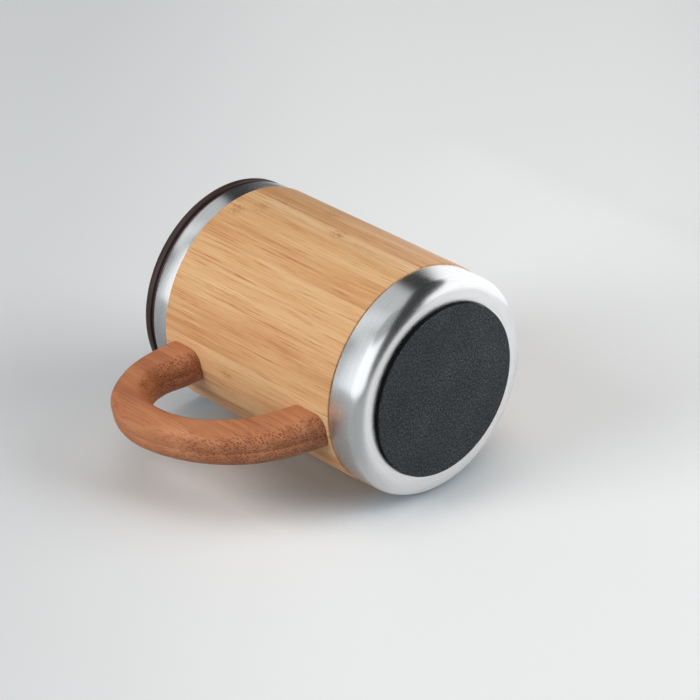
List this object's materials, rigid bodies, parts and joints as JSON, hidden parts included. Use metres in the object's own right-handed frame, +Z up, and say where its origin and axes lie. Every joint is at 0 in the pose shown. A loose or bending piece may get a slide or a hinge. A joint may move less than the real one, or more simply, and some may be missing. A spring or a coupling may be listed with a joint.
{
  "type": "lidded mug",
  "caption": "Double-walled steel mug with a bamboo sleeve, an ear-shaped bamboo handle, a foam foot pad and a press-in lid with a sliding sip closure.",
  "frame": {"origin": "centre of the foot pad's lower face", "axes": "+Z up the mug's axis from foot to lid, handle towards -X"},
  "size_m": [0.1185, 0.08, 0.1107],
  "materials": {
    "foam": "matt, fine grained",
    "steel": "brushed round the axis",
    "bamboo": "oiled, fine grain along the axis",
    "handle_bamboo": "oiled, darker, with open pores",
    "dowel_wood": "raw",
    "lid_plastic": "satin",
    "silicone": "translucent, matt"
  },
  "bodies": {
    "mug": {"foot_pad": "foam", "base_cup": "steel", "outer_shell": "steel", "inner_liner": "steel", "liner_floor": "steel", "bamboo_sleeve": "bamboo", "handle": "handle_bamboo", "handle_dowel_upper": "dowel_wood", "handle_dowel_lower": "dowel_wood"},
    "lid": {"lid_body": "lid_plastic", "lid_gasket": "silicone"},
    "slider": {"lid_slider": "lid_plastic"}
  },
  "joints": [
    {"name": "lid_lift", "type": "slide", "parent": "mug", "child": "lid", "axis": [0, 0, 1], "range_m": [0, 0.06]},
    {"name": "slider_slide", "type": "slide", "parent": "lid", "child": "slider", "axis": [-1, 0, 0], "range_m": [0, 0.012]}
  ]
}
